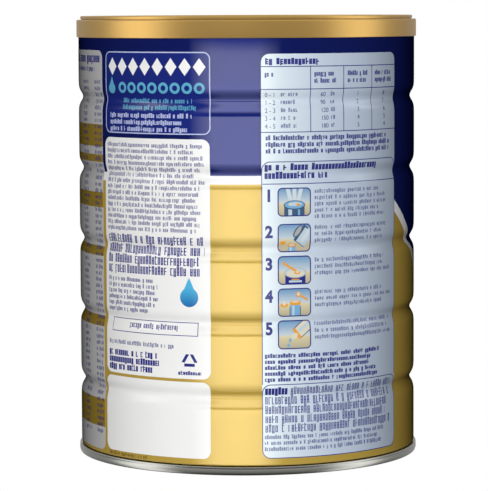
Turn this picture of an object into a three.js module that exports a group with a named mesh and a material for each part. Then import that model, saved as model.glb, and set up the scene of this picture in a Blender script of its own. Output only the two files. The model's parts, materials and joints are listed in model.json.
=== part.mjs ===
// Round steel tin of infant formula powder: a ribbed printed body, a seamed bottom end
// and a push-on plastic lid. The tin is shut, so its body is solid.
// Millimetres, +Z up. The origin is the centre of the circle that the tin stands on.

import * as THREE from 'three';

// Driving dimensions
const TIN_HEIGHT = 165; // from the floor to the top of the lid's stacking ring
const WALL_RADIUS = 63.5; // outside of the straight body wall
const FIT_GAP = 0.3; // clear space between neighbouring pieces
const TURN_STEPS = 72; // flat sides round each turned piece

const RIB_COUNT = 5;
const RIB_PITCH = 26.7;
const LOWEST_RIB_HEIGHT = 28;
const RIB_WIDTH = 9.4;
const RIB_DEPTH = 1.65;
const RIB_STEPS = 8;

const SEAM_RADIUS = 64.35; // outside of the rolled double seam
const SEAM_THICKNESS = 1.45;
const SEAM_HEIGHT = 3.1;
const SEAM_FOOT_ROUND = 0.4;
const SEAM_TOP_ROUND = 0.6;
const SEAM_FOOT_CHAMFER = 0.2;

const END_PANEL_HEIGHT = 1.8; // underside of the bottom panel above the floor
const COUNTERSINK_HEIGHT = 2.3; // floor to the groove between panel and seam
const COUNTERSINK_WIDTH = 2.4;
const COUNTERSINK_SLOPE = 1; // run of the slope from the panel up into the groove
const END_BEAD_RADII = [36, 49]; // middles of the panel's two stiffening rings
const END_BEAD_WIDTH = 5;
const END_BEAD_DEPTH = 0.55;
const END_BEAD_STEPS = 4;

const LID_SKIRT_RADIUS = 64.2;
const LID_SKIRT_HEIGHT = 6.5;
const LID_ROUND = 0.5;
const LID_FOOT_ROUND = 0.25;
const LID_ROOF_THICKNESS = 1.3; // from the cavity's ceiling to the shoulder
const RING_RADIUS = 62.75; // outside of the raised stacking ring
const RING_WIDTH = 1.6;
const RING_HEIGHT = 1.4; // above the shoulder
const RING_ROUND = 0.4;
const LID_PANEL_DROP = 1.1; // from the ring's top down to the centre panel
const CORNER_STEPS = 3; // flats in a quarter round

const PAINT_GOLD = '#d9b765';
const STEEL_GREY = '#82827a';
const LID_GOLD = '#b08a52';

// Heights that follow from them
const BODY_FOOT = SEAM_HEIGHT + FIT_GAP;
const LID_FOOT = TIN_HEIGHT - RING_HEIGHT - LID_SKIRT_HEIGHT;
const LID_CEILING = LID_SKIRT_HEIGHT - LID_ROOF_THICKNESS;
const BODY_TOP = LID_FOOT + LID_CEILING - FIT_GAP;

const degrees = THREE.MathUtils.degToRad;

function point(radius, height) {
  return new THREE.Vector2(radius, height);
}

// Points along a round between two flats, from one angle to the other, 0 being outwards.
function roundEdge(centreRadius, centreHeight, size, fromDegrees, toDegrees) {
  const points = [];
  for (let step = 0; step <= CORNER_STEPS; step += 1) {
    const share = step / CORNER_STEPS;
    const angle = degrees(THREE.MathUtils.lerp(fromDegrees, toDegrees, share));
    points.push(point(
      centreRadius + size * Math.cos(angle),
      centreHeight + size * Math.sin(angle),
    ));
  }
  return points;
}

// How far a smooth groove has sunk, where across runs from -1 at one edge to 1 at the other.
function grooveDepth(depth, across) {
  return (depth * (1 + Math.cos(Math.PI * across))) / 2;
}

// A profile that runs from the axis at the foot, outwards and up, back to the axis at the top.
function turnedMesh(name, profile, footHeight, finish) {
  const geometry = new THREE.LatheGeometry(profile, TURN_STEPS);
  const mesh = new THREE.Mesh(geometry, new THREE.MeshStandardMaterial(finish));
  mesh.name = name;
  mesh.position.y = footHeight;
  return mesh;
}

// The body wall with its rolled-in ribs, measured from its own foot.
function bodyProfile() {
  const height = BODY_TOP - BODY_FOOT;
  const profile = [point(0, 0), point(WALL_RADIUS, 0)];
  for (let rib = 0; rib < RIB_COUNT; rib += 1) {
    const middle = LOWEST_RIB_HEIGHT + rib * RIB_PITCH - BODY_FOOT;
    for (let step = 0; step <= RIB_STEPS; step += 1) {
      const across = (2 * step) / RIB_STEPS - 1;
      profile.push(point(
        WALL_RADIUS - grooveDepth(RIB_DEPTH, across),
        middle + (across * RIB_WIDTH) / 2,
      ));
    }
  }
  profile.push(point(WALL_RADIUS, height), point(0, height));
  return profile;
}

// The bottom end: a beaded panel, a countersunk groove round it and the rolled seam.
function bottomEndProfile() {
  const chuckRadius = SEAM_RADIUS - SEAM_THICKNESS;
  const grooveRadius = chuckRadius - COUNTERSINK_WIDTH;
  const profile = [point(0, END_PANEL_HEIGHT)];
  for (const middle of END_BEAD_RADII) {
    for (let step = 0; step <= END_BEAD_STEPS; step += 1) {
      const across = (2 * step) / END_BEAD_STEPS - 1;
      profile.push(point(
        middle + (across * END_BEAD_WIDTH) / 2,
        END_PANEL_HEIGHT - grooveDepth(END_BEAD_DEPTH, across),
      ));
    }
  }
  profile.push(
    point(grooveRadius - COUNTERSINK_SLOPE, END_PANEL_HEIGHT),
    point(grooveRadius, COUNTERSINK_HEIGHT),
    point(chuckRadius, COUNTERSINK_HEIGHT),
    point(chuckRadius, SEAM_FOOT_CHAMFER),
    point(chuckRadius + SEAM_FOOT_CHAMFER, 0),
    ...roundEdge(SEAM_RADIUS - SEAM_FOOT_ROUND, SEAM_FOOT_ROUND, SEAM_FOOT_ROUND, -90, 0),
    ...roundEdge(SEAM_RADIUS - SEAM_TOP_ROUND, SEAM_HEIGHT - SEAM_TOP_ROUND, SEAM_TOP_ROUND, 0, 90),
    point(0, SEAM_HEIGHT),
  );
  return profile;
}

// The lid: a cap whose skirt slips over the body, with a raised ring round a lower panel.
function lidProfile() {
  const cavityRadius = WALL_RADIUS + FIT_GAP;
  const shoulder = LID_SKIRT_HEIGHT;
  const ringTop = shoulder + RING_HEIGHT;
  const ringInside = RING_RADIUS - RING_WIDTH;
  const panel = ringTop - LID_PANEL_DROP;
  return [
    point(0, LID_CEILING),
    point(cavityRadius, LID_CEILING),
    point(cavityRadius, 0),
    ...roundEdge(LID_SKIRT_RADIUS - LID_FOOT_ROUND, LID_FOOT_ROUND, LID_FOOT_ROUND, -90, 0),
    ...roundEdge(LID_SKIRT_RADIUS - LID_ROUND, shoulder - LID_ROUND, LID_ROUND, 0, 90),
    point(RING_RADIUS, shoulder),
    ...roundEdge(RING_RADIUS - RING_ROUND, ringTop - RING_ROUND, RING_ROUND, 0, 90),
    ...roundEdge(ringInside + RING_ROUND, ringTop - RING_ROUND, RING_ROUND, 90, 180),
    point(ringInside, panel),
    point(0, panel),
  ];
}

// The pieces are turned about Y, and the group stands them up along Z.
const tin = new THREE.Group();
tin.rotation.x = Math.PI / 2;
tin.add(
  turnedMesh('tin_body', bodyProfile(), BODY_FOOT, {
    color: PAINT_GOLD, roughness: 0.35, metalness: 0.6,
  }),
  turnedMesh('base_end', bottomEndProfile(), 0, {
    color: STEEL_GREY, roughness: 0.3, metalness: 1,
  }),
  turnedMesh('lid', lidProfile(), LID_FOOT, {
    color: LID_GOLD, roughness: 0.4, metalness: 0.5,
  }),
);

export default tin;
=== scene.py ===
"""Looks of an infant formula tin: ribbed printed body, seamed end and gold lid.

Sizes are in millimetres, as on a drawing, and MM turns them into Blender's metres. The
tin stands on the origin and -Y is the side that the photograph shows. A place on the
printed wall is given by u, the distance round it from -Y towards +X, and its height z.
"""

from __future__ import annotations

import json
import logging
import math
from collections.abc import Callable, Iterable, Sequence
from dataclasses import dataclass, field
from enum import Enum
from itertools import pairwise
from typing import ClassVar

import bpy
from mathutils import Matrix, Vector

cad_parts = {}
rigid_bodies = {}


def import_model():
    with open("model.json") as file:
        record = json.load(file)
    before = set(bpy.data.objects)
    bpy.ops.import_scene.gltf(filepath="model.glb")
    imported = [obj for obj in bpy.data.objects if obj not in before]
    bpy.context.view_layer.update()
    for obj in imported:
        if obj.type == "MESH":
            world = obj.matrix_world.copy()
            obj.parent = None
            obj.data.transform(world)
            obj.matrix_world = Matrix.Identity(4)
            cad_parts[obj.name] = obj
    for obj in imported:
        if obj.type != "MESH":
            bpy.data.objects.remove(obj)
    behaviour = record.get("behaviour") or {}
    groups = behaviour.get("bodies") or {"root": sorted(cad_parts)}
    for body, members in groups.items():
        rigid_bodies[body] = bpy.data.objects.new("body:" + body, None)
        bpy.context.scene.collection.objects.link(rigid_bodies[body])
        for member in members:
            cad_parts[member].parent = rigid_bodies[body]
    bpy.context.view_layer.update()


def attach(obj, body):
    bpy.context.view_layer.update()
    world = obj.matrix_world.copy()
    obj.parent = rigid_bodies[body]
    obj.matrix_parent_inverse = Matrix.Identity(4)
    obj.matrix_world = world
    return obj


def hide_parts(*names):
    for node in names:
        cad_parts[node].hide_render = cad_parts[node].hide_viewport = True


log = logging.getLogger("formula_tin")

MM = 0.001
SMOOTH_ANGLE = math.radians(32)
WELD_DISTANCE = 1e-6  # metres; nearer points are one point
LEVEL_FACE = 0.7  # upward part of a normal, over which a face counts as level
PRINT_MAP = "Print"  # u and z in millimetres
BAKE_MAP = "OFBake"

Point = tuple[float, float]
Rgb = tuple[float, float, float]


class Ink(Enum):
    """Inks and lacquers of the print, as linear red, green and blue."""

    NAVY = (0.0105, 0.019, 0.160)
    NAVY_LIGHT = (0.013, 0.024, 0.195)
    GOLD = (0.59, 0.406, 0.079)
    BAND_GOLD = (0.40, 0.27, 0.04)
    WHITE = (0.90, 0.90, 0.89)
    GREY_WHITE = (0.54, 0.54, 0.54)
    PALE_BLUE = (0.53, 0.615, 0.74)
    ICE = (0.80, 0.89, 0.93)
    TEXT_BLUE = (0.030, 0.034, 0.23)
    OUTLINE = (0.50, 0.55, 0.80)
    TEAL = (0.12, 0.42, 0.60)
    BROWN = (0.07, 0.035, 0.012)
    SKY = (0.20, 0.36, 0.55)
    SAND = (0.70, 0.62, 0.38)
    STEAM = (0.62, 0.70, 0.74)
    WATER = (0.20, 0.42, 0.66)
    AMBER = (0.80, 0.36, 0.05)
    CREAM = (0.72, 0.68, 0.54)
    STEEL = (0.42, 0.42, 0.41)
    SLATE = (0.06, 0.11, 0.20)
    GLASS = (0.52, 0.64, 0.72)


class Wire:
    """One output socket of a node in a material."""

    def __init__(self, graph: Graph, socket: bpy.types.NodeSocket) -> None:
        """Keeps the socket with the graph that its nodes are added to."""
        self.graph = graph
        self.socket = socket


def operation(name: str, swapped: bool = False) -> Callable[[Value, Number], Value]:
    """Makes a method that combines a value with a number or another value.

    Args:
        name: What the Math node does.
        swapped: Whether the other number comes first.

    Returns:
        The method.
    """

    def combine(self: Value, other: Number) -> Value:
        """Adds the Math node."""
        pair = (other, self) if swapped else (self, other)
        return self.graph.math(name, *pair)

    return combine


class Value(Wire):
    """A number that changes over a surface, with the arithmetic that shapes it.

    Comparisons give masks, which are 0 or 1. The product of two masks is their overlap,
    and most gives both together.
    """

    __add__ = __radd__ = operation("ADD")
    __sub__ = operation("SUBTRACT")
    __rsub__ = operation("SUBTRACT", swapped=True)
    __mul__ = __rmul__ = operation("MULTIPLY")
    __truediv__ = operation("DIVIDE")
    __rtruediv__ = operation("DIVIDE", swapped=True)
    __gt__ = operation("GREATER_THAN")
    __lt__ = operation("LESS_THAN")
    least = operation("MINIMUM")
    most = operation("MAXIMUM")

    def __neg__(self) -> Value:
        """The value with its sign turned."""
        return self * -1.0

    def __abs__(self) -> Value:
        """The size of the value without its sign."""
        return self.graph.math("ABSOLUTE", self)

    def floor(self) -> Value:
        """The whole number at or under the value."""
        return self.graph.math("FLOOR", self)

    def clamped(self) -> Value:
        """The value held between 0 and 1."""
        return self.graph.math("ADD", self, 0.0, clamp=True)

    def under(self, edge: Number, blur: float = 0.06) -> Value:
        """A mask that is 1 under an edge and fades to 0 across it.

        Args:
            edge: The number to stay under.
            blur: How far the fade runs, in the value's own unit.

        Returns:
            The mask.
        """
        return ((edge - self) / blur + 0.5).clamped()

    def within(self, low: Number, high: Number, blur: float = 0.06) -> Value:
        """A mask that is 1 between two edges.

        Args:
            low: The lower edge.
            high: The upper edge.
            blur: How far each edge fades.

        Returns:
            The mask.
        """
        return self.under(high, blur) * (1 - self.under(low, blur))


class Colour(Wire):
    """A colour that changes over a surface."""


Number = Value | float
Tint = Colour | Ink | Rgb
Lit = bpy.types.Collection


class Graph:
    """The node tree of one material."""

    def __init__(self, name: str) -> None:
        """Makes an empty material of that name."""
        self.material = bpy.data.materials.new(name)
        self.material.use_nodes = True
        self.tree = self.material.node_tree
        self.tree.nodes.clear()

    def node(
        self,
        kind: str,
        settings: dict[str, object] | None = None,
        inputs: dict[int | str, object] | None = None,
    ) -> bpy.types.Node:
        """Adds one node.

        Args:
            kind: The node's type, without its ShaderNode prefix.
            settings: Properties of the node, set first.
            inputs: Values or wires for its input sockets, by number or name.

        Returns:
            The new node.
        """
        made = self.tree.nodes.new("ShaderNode" + kind)
        for name, setting in (settings or {}).items():
            setattr(made, name, setting)
        for key, source in (inputs or {}).items():
            if isinstance(source, Wire):
                self.tree.links.new(source.socket, made.inputs[key])
            elif isinstance(source, Ink):
                made.inputs[key].default_value = (*source.value, 1.0)
            elif isinstance(source, tuple) and made.inputs[key].type == "RGBA":
                made.inputs[key].default_value = (*source, 1.0)
            else:
                made.inputs[key].default_value = source
        return made

    def math(self, operation: str, *numbers: Number, clamp: bool = False) -> Value:
        """Adds a Math node.

        Args:
            operation: What it does.
            *numbers: Its one or two numbers.
            clamp: Whether the result is held between 0 and 1.

        Returns:
            Its result.
        """
        settings = {"operation": operation, "use_clamp": clamp}
        made = self.node("Math", settings, dict(enumerate(numbers)))
        return Value(self, made.outputs[0])

    def paint(self, under: Tint, over: Tint, mask: Value) -> Colour:
        """Lays one colour over another where the mask is 1.

        Args:
            under: The colour below.
            over: The colour on top.
            mask: How much of the upper colour shows.

        Returns:
            The mixed colour.
        """
        made = self.node("Mix", {"data_type": "RGBA"}, {0: mask, 6: under, 7: over})
        return Colour(self, made.outputs[2])

    def wire(
        self,
        kind: str,
        settings: dict[str, object] | None = None,
        inputs: dict[int | str, object] | None = None,
    ) -> Wire:
        """Adds one node, as node does, and gives its first output."""
        return Wire(self, self.node(kind, settings, inputs).outputs[0])

    def end(self, surface: Wire) -> None:
        """Makes a shader the surface of the material."""
        self.node("OutputMaterial", None, {0: surface})

    def split(self, place: Wire) -> tuple[Value, Value, Value]:
        """The three parts of a place."""
        parts = self.node("SeparateXYZ", None, {0: place})
        first, second, third = (Value(self, socket) for socket in parts.outputs)
        return first, second, third

    def map_place(self, name: str = PRINT_MAP) -> tuple[Value, Value]:
        """The place in a map, which is u and z in millimetres in the print map."""
        across, up, _ = self.split(self.wire("UVMap", {"uv_map": name}))
        return across, up

    def object_place(self) -> Wire:
        """The place in the object's own space, in metres."""
        return Wire(self, self.node("TexCoord").outputs["Object"])

    def noise(self, place: Wire, scale: float, detail: float = 2.0) -> Value:
        """Smooth noise from 0 to 1.

        Args:
            place: Where the noise is read.
            scale: Waves per unit of the place.
            detail: How many finer layers it has.

        Returns:
            The noise.
        """
        settings = {"Vector": place, "Scale": scale, "Detail": detail}
        return Value(self, self.node("TexNoise", None, settings).outputs[0])

    def solid(self, tint: Ink | Rgb, share: float, waves: float) -> Colour:
        """A tint with the faint unevenness of a printed solid.

        Args:
            tint: The colour.
            share: How dark it gets, as a share of itself.
            waves: Waves of the unevenness per metre.

        Returns:
            The uneven colour.
        """
        uneven = self.noise(self.object_place(), waves)
        return self.paint(tint, shaded(tint, share), uneven)

    def bump(self, height: Value, strength: float, distance: float) -> Wire:
        """A surface normal with a fine relief.

        Args:
            height: The relief, from 0 to 1.
            strength: How much of it shows.
            distance: Its full height in metres.

        Returns:
            The normal.
        """
        relief = {"Strength": strength, "Distance": distance, "Height": height}
        return self.wire("Bump", None, relief)

    def draws(self, first: Number, second: Number) -> tuple[Value, Value, Value]:
        """Three random numbers for each pair of whole numbers.

        Args:
            first: The first number of the pair.
            second: The second number of the pair.

        Returns:
            The three numbers, from 0 to 1.
        """
        pair = self.wire("CombineXYZ", None, {0: first, 1: second})
        noise = self.node("TexWhiteNoise", {"noise_dimensions": "2D"}, {"Vector": pair})
        colour = Wire(self, noise.outputs["Color"])
        parts = self.node("SeparateColor", None, {0: colour})
        red, green, blue = (Value(self, socket) for socket in parts.outputs)
        return red, green, blue

    def rounded_box(self, u: Value, z: Value, area: Area) -> Value:
        """Distance to the edge of a rounded rectangle, less than 0 inside it.

        Args:
            u: Place across.
            z: Place up.
            area: The rectangle, with its corner radius.

        Returns:
            The distance in millimetres.
        """
        across = abs(u - area.middle[0]) - (area.width / 2 - area.corner)
        up = abs(z - area.middle[1]) - (area.height / 2 - area.corner)
        outside_u, outside_z = across.most(0.0), up.most(0.0)
        reach = self.math("SQRT", outside_u * outside_u + outside_z * outside_z)
        return reach + across.most(up).least(0.0) - area.corner

    def ellipse(
        self, u: Value, z: Value, middle: Point, radii: Point, blur: float = 0.08
    ) -> Value:
        """A mask that fills an ellipse.

        Args:
            u: Place across.
            z: Place up.
            middle: The ellipse's middle.
            radii: Its half width and half height.
            blur: The fade at its edge, as a share of its radius.

        Returns:
            The mask.
        """
        across = (u - middle[0]) / radii[0]
        up = (z - middle[1]) / radii[1]
        reach = self.math("SQRT", across * across + up * up)
        return reach.under(1.0, blur)


def shaded(tint: Ink | Rgb, share: float) -> Rgb:
    """A tint with each part multiplied by a share."""
    parts = tint.value if isinstance(tint, Ink) else tint
    return tuple(share * part for part in parts)


def masks(several: Iterable[Value]) -> Value:
    """All masks together."""
    found = list(several)
    together = found[0]
    for mask in found[1:]:
        together = together.most(mask)
    return together


@dataclass(frozen=True)
class Area:
    """A rectangle on the unrolled wall, with rounded corners."""

    left: float
    right: float
    bottom: float
    top: float
    corner: float = 0.0

    @property
    def width(self) -> float:
        """From left to right."""
        return self.right - self.left

    @property
    def height(self) -> float:
        """From bottom to top."""
        return self.top - self.bottom

    @property
    def middle(self) -> Point:
        """The middle of the rectangle."""
        return (self.left + self.right) / 2, (self.bottom + self.top) / 2


@dataclass(frozen=True)
class SmallPrint:
    """Rows of upright strokes in word-like groups, which stand for small print."""

    left: float
    right: float
    first: float  # height of the middle of the first row
    pitch: float  # from row to row
    rows: int
    height: float  # of a stroke
    step: float  # from one letter's place to the next
    weight: float = 0.26  # width of a stroke, as a share of the step
    ragged: float = 4.0  # how much shorter a row may be
    seed: float = 0.0

    STRETCH: ClassVar[float] = 0.3  # of a long stroke beyond the row, in its heights
    RISES_BELOW: ClassVar[float] = 0.12  # draws under this reach above the row
    DROPS_ABOVE: ClassVar[float] = 0.72  # and over this below it
    FIRST_STROKE: ClassVar[float] = 0.2  # its place, as a share of the step
    SECOND_STROKE: ClassVar[float] = 0.64
    BAR_MIDDLE: ClassVar[float] = 0.42
    BAR_HALF: ClassVar[float] = 0.22
    BAR_WEIGHT: ClassVar[float] = 0.42  # half a bar's weight against a stroke's
    PAIR_ABOVE: ClassVar[float] = 0.22  # draws over these add what they name
    END_BAR_ABOVE: ClassVar[float] = 0.45
    WAIST_BAR_ABOVE: ClassVar[float] = 0.55
    LETTER_ABOVE: ClassVar[float] = 0.3  # under it every second place is a gap

    def ink(self, graph: Graph, u: Value, z: Value) -> Value:
        """The strokes of all rows.

        Args:
            graph: The material.
            u: Place across.
            z: Place up.

        Returns:
            A mask that is 1 on the strokes.
        """
        down = (self.first + self.pitch / 2 - z) / self.pitch
        row = down.floor()
        level = (down - row - 0.5) * self.pitch
        along = (u - self.left) / self.step
        cell = along.floor()
        across = along - cell
        reach, pair, gap = graph.draws(cell + self.seed * 13, row + self.seed * 7)
        head, waist, foot = graph.draws(cell + self.seed * 5, row - self.seed * 3)
        shorter, _, _ = graph.draws(row, self.seed + 31.0)
        half, longer = self.height / 2, self.height * self.STRETCH
        in_row = (level < half + (reach < self.RISES_BELOW) * longer) * (
            level > -half - (reach > self.DROPS_ABOVE) * longer
        )
        thin = self.weight / 2
        single = abs(across - self.FIRST_STROKE) < thin
        double = (abs(across - self.SECOND_STROKE) < thin) * (pair > self.PAIR_ABOVE)
        bar = self.weight * self.step * self.BAR_WEIGHT
        bars = masks([
            (abs(level + half - bar) < bar) * (head > self.END_BAR_ABOVE),
            (abs(level) < bar) * (waist > self.WAIST_BAR_ABOVE),
            (abs(level - half + bar) < bar) * (foot > self.END_BAR_ABOVE),
        ])
        reached = abs(across - self.BAR_MIDDLE) < self.BAR_HALF + thin
        joined = bars * reached * (abs(level) < half)
        inside = (down > 0.0) * (down < float(self.rows)) * (along > 0.0)
        ends = u < self.right - shorter * self.ragged
        strokes = (single.most(double) * in_row).most(joined)
        odd = cell - (cell / 2.0).floor() * 2.0
        letters = masks([gap > self.LETTER_ABOVE, odd > 0.5, cell < 2.0])
        return strokes * letters * inside * ends


@dataclass(frozen=True)
class Drawn:
    """What an artwork puts on the metal: its colour and how much metal shines."""

    colour: Tint
    shine: Number


class Artwork:
    """A design that is printed on a piece of the wall."""

    def draw(self, graph: Graph, u: Value, z: Value) -> Drawn:
        """Builds the design's nodes.

        Args:
            graph: The material.
            u: Place round the wall, in millimetres.
            z: Height, in millimetres.

        Returns:
            The colour and shine.
        """
        raise NotImplementedError


@dataclass(frozen=True)
class Lacquer:
    """Clear gloss lacquer over print on tinplate."""

    roughness: float = 0.2
    coat_roughness: float = 0.03
    peel_waves: float = 900.0  # per metre
    peel_depth: float = 0.000001  # metres
    peel_strength: float = 0.35
    grain_waves: float = 420.0  # per metre, of the rolled metal under the ink
    grain_stretch: Rgb = (1.0, 1.0, 9.0)
    grain_share: float = 0.04  # how far the grain changes the roughness

    def dress(self, piece: bpy.types.Object, artwork: Artwork) -> None:
        """Gives a piece its printed and lacquered finish.

        Args:
            piece: The piece, with its print map.
            artwork: What is printed on it.
        """
        graph = Graph(piece.name)
        u, z = graph.map_place()
        drawn = artwork.draw(graph, u, z)
        place = graph.object_place()
        peel = graph.noise(place, self.peel_waves)
        stretch = {0: place, 1: Vector(self.grain_stretch)}
        grain_place = graph.wire("VectorMath", {"operation": "MULTIPLY"}, stretch)
        grain = graph.noise(grain_place, self.grain_waves, 3.0)
        floor = self.roughness - self.grain_share / 2
        finish = {
            "Base Color": drawn.colour,
            "Metallic": drawn.shine,
            "Roughness": grain * self.grain_share + floor,
            "Specular IOR Level": 0.0,
            "Coat Weight": 1.0,
            "Coat Roughness": self.coat_roughness,
            "Normal": graph.bump(peel, self.peel_strength, self.peel_depth),
        }
        dress(piece, graph, finish)


@dataclass(frozen=True)
class SatinPlastic:
    """Gold plastic with fine metal flake in it and a satin moulded surface."""

    base: Rgb = (0.52, 0.322, 0.094)
    metallic: float = 0.85
    roughness: float = 0.36
    flake_waves: float = 5200.0  # per metre
    flake_depth: float = 0.00001  # metres
    cloud_waves: float = 60.0

    def dress(self, piece: bpy.types.Object) -> None:
        """Gives a piece the gold plastic."""
        graph = Graph(piece.name)
        place = graph.object_place()
        flake = graph.noise(place, self.flake_waves, 1.0)
        cloud = graph.noise(place, self.cloud_waves, 3.0)
        mottled = flake * 0.5 + cloud * 0.3
        finish = {
            "Base Color": graph.paint(self.base, shaded(self.base, 0.86), mottled),
            "Metallic": self.metallic,
            "Roughness": cloud * 0.05 + flake * 0.06 + (self.roughness - 0.055),
            "Normal": graph.bump(flake, 0.3, self.flake_depth),
        }
        dress(piece, graph, finish)


@dataclass(frozen=True)
class Tinplate:
    """Bare tinplate with the fine lines that rolling and seaming leave round it."""

    base: Rgb = (0.36, 0.36, 0.335)
    roughness: float = 0.24
    line_waves: Point = (0.03, 14.0)  # per millimetre, round the tin and up it
    line_depth: float = 0.00002  # metres
    stain_waves: float = 90.0  # per metre

    def dress(self, piece: bpy.types.Object) -> None:
        """Gives a piece the bare metal."""
        graph = Graph(piece.name)
        turn, up = graph.map_place()
        squeezed = {0: turn * self.line_waves[0], 1: up * self.line_waves[1]}
        lines = graph.noise(graph.wire("CombineXYZ", None, squeezed), 1.0, 4.0)
        stains = graph.noise(graph.object_place(), self.stain_waves, 4.0)
        mottled = stains * 0.5 + lines * 0.3
        finish = {
            "Base Color": graph.paint(self.base, shaded(self.base, 0.7), mottled),
            "Metallic": 1.0,
            "Roughness": lines * 0.12 + stains * 0.08 + (self.roughness - 0.1),
            "Normal": graph.bump(lines, 0.25, self.line_depth),
        }
        dress(piece, graph, finish)


def dress(
    piece: bpy.types.Object, graph: Graph, finish: dict[int | str, object]
) -> None:
    """Ends a material in one shader and puts it on a piece.

    Args:
        piece: The piece.
        graph: The material's nodes so far.
        finish: Inputs of the shader.
    """
    graph.end(graph.wire("BsdfPrincipled", None, finish))
    piece.data.materials.clear()
    piece.data.materials.append(graph.material)


def start_editing() -> None:
    """Opens the active object's mesh with all of it selected."""
    bpy.ops.object.mode_set(mode="EDIT")
    bpy.ops.mesh.select_all(action="SELECT")


def deselect_objects() -> None:
    """Leaves no object selected, so that an operator acts on the next one alone."""
    if bpy.context.object and bpy.context.object.mode != "OBJECT":
        bpy.ops.object.mode_set(mode="OBJECT")
    bpy.ops.object.select_all(action="DESELECT")


def turned(name: str, profile: Sequence[Point], steps: int) -> bpy.types.Object:
    """Spins a profile round the tin's axis.

    Args:
        name: Name of the new piece.
        profile: Radius and height of each point, from the axis back to the axis.
        steps: Flat sides round it.

    Returns:
        The closed piece, smooth but for its edges.
    """
    deselect_objects()
    bpy.ops.mesh.primitive_plane_add(size=MM)
    piece = bpy.context.object
    piece.name = piece.data.name = name
    start_editing()
    bpy.ops.mesh.merge(type="CENTER")
    bpy.ops.transform.translate(value=Vector((profile[0][0], 0, profile[0][1])) * MM)
    for here, there in pairwise(profile):
        move = Vector((there[0] - here[0], 0, there[1] - here[1])) * MM
        bpy.ops.mesh.extrude_vertices_move(TRANSFORM_OT_translate={"value": move})
    bpy.ops.mesh.select_all(action="SELECT")
    bpy.ops.mesh.spin(steps=steps, angle=math.tau, center=(0, 0, 0), axis=(0, 0, 1))
    bpy.ops.mesh.select_all(action="SELECT")
    bpy.ops.mesh.remove_doubles(threshold=WELD_DISTANCE)
    bpy.ops.mesh.normals_make_consistent(inside=False)
    bpy.ops.object.mode_set(mode="OBJECT")
    bpy.ops.object.shade_smooth_by_angle(angle=SMOOTH_ANGLE)
    return piece


def round_edge(
    middle: Point, size: float, start: float, end: float, steps: int
) -> list[Point]:
    """Points along a round between two flats.

    Args:
        middle: Radius and height of the round's middle.
        size: Its radius.
        start: Angle of its first point in degrees, 0 being outwards and 90 up.
        end: Angle of its last point.
        steps: Flats along it.

    Returns:
        The points.
    """
    turn = end - start
    angles = (math.radians(start + turn * step / steps) for step in range(steps + 1))
    return [
        (middle[0] + size * math.cos(angle), middle[1] + size * math.sin(angle))
        for angle in angles
    ]


def map_turned(piece: bpy.types.Object, radius: float) -> None:
    """Gives a turned piece its print map and its bake map.

    Args:
        piece: The piece, about the tin's axis.
        radius: Radius at which u is measured.
    """
    mesh = piece.data
    places = mesh.uv_layers.new(name=PRINT_MAP)
    for face in mesh.polygons:
        centre = math.atan2(face.center.x, -face.center.y)
        for loop in face.loop_indices:
            spot = mesh.vertices[mesh.loops[loop].vertex_index].co
            reach = math.hypot(spot.x, spot.y)
            angle = centre if reach < WELD_DISTANCE else math.atan2(spot.x, -spot.y)
            angle += math.tau * round((centre - angle) / math.tau)
            drop = radius - reach / MM if abs(face.normal.z) > LEVEL_FACE else 0.0
            places.data[loop].uv = (angle * radius, spot.z / MM + drop)


def print_wall_map(piece: bpy.types.Object) -> None:
    """Writes u and z of a flat piece, before it is wrapped, into its print map."""
    mesh = piece.data
    places = mesh.uv_layers.new(name=PRINT_MAP)
    for loop in mesh.loops:
        spot = mesh.vertices[loop.vertex_index].co
        places.data[loop.index].uv = (spot.x / MM, spot.z / MM)


def span(values: Iterable[float]) -> Point:
    """The least of the values, and how far they reach from it."""
    found = list(values)
    return min(found), max(found) - min(found)


def bake_wall_map(piece: bpy.types.Object) -> None:
    """Lays out a side wall for baking, with its closed ends in a strip below it."""
    mesh = piece.data
    places = mesh.uv_layers[PRINT_MAP]
    bake = mesh.uv_layers.new(name=BAKE_MAP)
    low_u, wide = span(place.uv.x for place in places.data)
    low_z, tall = span(vertex.co.z / MM for vertex in mesh.vertices)
    widest = max(math.hypot(vertex.co.x, vertex.co.y) for vertex in mesh.vertices)
    disc, disc_height = 0.025, 0.03
    for face in mesh.polygons:
        cap = abs(face.normal.z) > 0.9
        disc_place = 0.03 if face.normal.z > 0 else 0.09
        for loop in face.loop_indices:
            spot = mesh.vertices[mesh.loops[loop].vertex_index].co
            across = 0.002 + 0.996 * (places.data[loop].uv.x - low_u) / wide
            up = 0.065 + 0.93 * (spot.z / MM - low_z) / tall
            if cap:
                across = disc_place + disc * spot.x / widest
                up = disc_height + disc * spot.y / widest
            bake.data[loop].uv = (across, up)


def bake_plate_map(piece: bpy.types.Object) -> None:
    """Lays out a thin wrapped plate for baking: its face fills the square."""
    mesh = piece.data
    places = mesh.uv_layers[PRINT_MAP]
    bake = mesh.uv_layers.new(name=BAKE_MAP)
    low_u, wide = span(place.uv.x for place in places.data)
    low_z, tall = span(place.uv.y for place in places.data)
    facing = 0.3  # outward part of a normal, over which a face isn't an edge
    face_strip, edge_strip, back_strip = (0.045, 0.95), (0.02, 0.012), (0.002, 0.012)
    for face in mesh.polygons:
        away = Vector((face.center.x, face.center.y, 0)).normalized()
        outward = away.dot(face.normal)
        base, height = face_strip if outward > facing else back_strip
        if -facing < outward < facing:
            base, height = edge_strip
        for loop in face.loop_indices:
            place = places.data[loop].uv
            bake.data[loop].uv = (
                0.003 + 0.994 * (place.x - low_u) / wide,
                base + height * (place.y - low_z) / tall,
            )


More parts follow.
